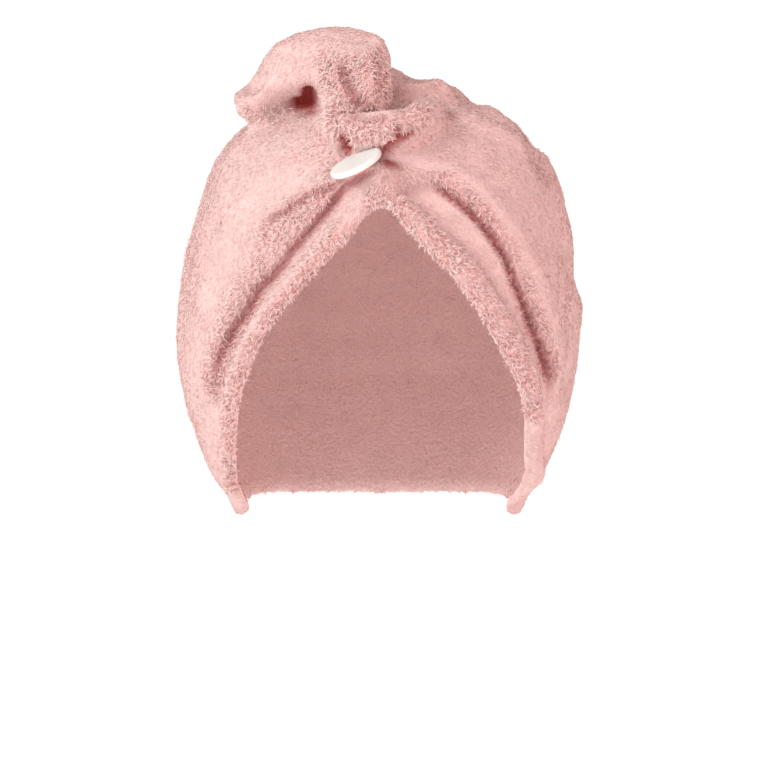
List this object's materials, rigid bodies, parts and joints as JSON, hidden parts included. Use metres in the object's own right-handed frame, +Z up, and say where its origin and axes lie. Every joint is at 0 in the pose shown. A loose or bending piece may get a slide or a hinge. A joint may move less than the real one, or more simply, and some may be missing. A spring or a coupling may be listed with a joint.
{
  "type": "hair turban towel",
  "caption": "Plush hair turban towel shown worn: open-faced hood with a rolled hem and soft folds, its twisted tail knotted over the forehead and held by a flat button.",
  "frame": {"origin": "inside of the hood's crown, where the top of a head touches the cloth", "axes": "+Z up, -Y out of the face opening, +X to the right of a viewer who faces the opening"},
  "size_m": [0.1876, 0.2106, 0.22],
  "materials": {
    "plush": "soft plush pile, pale coral pink, matt",
    "button": "smooth cream, slightly glossy",
    "elastic": "thin covered elastic, pink, matt"
  },
  "bodies": {
    "root": {"hood": "plush", "tail_roll": "plush", "front_wrap": "plush", "tail_end": "plush", "button": "button", "button_loop": "elastic"}
  },
  "joints": []
}
